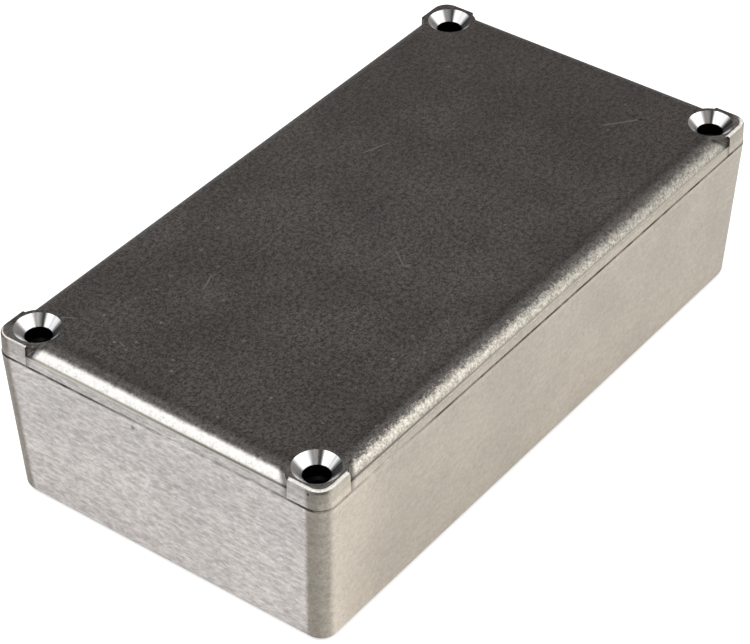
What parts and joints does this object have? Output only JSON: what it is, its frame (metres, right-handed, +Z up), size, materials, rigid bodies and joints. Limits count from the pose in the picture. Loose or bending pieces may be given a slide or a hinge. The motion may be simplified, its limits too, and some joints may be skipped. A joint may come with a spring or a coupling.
{
  "type": "die cast aluminium enclosure",
  "caption": "Small rectangular die cast aluminium enclosure with drafted walls and a flat lid, its round-edged top carrying open countersunk screw corners.",
  "frame": {"origin": "centre of the flat underside of the base", "axes": "+X along the long side, +Z up towards the lid, +Y along the short side"},
  "size_m": [0.112, 0.0606, 0.03],
  "materials": {
    "base_casting": "die cast aluminium, walls linished to a pale satin grey",
    "lid_casting": "die cast aluminium, top left with its dark casting skin, edges worn bright"
  },
  "bodies": {
    "root": {"base": "base_casting", "lid": "lid_casting"}
  },
  "joints": []
}
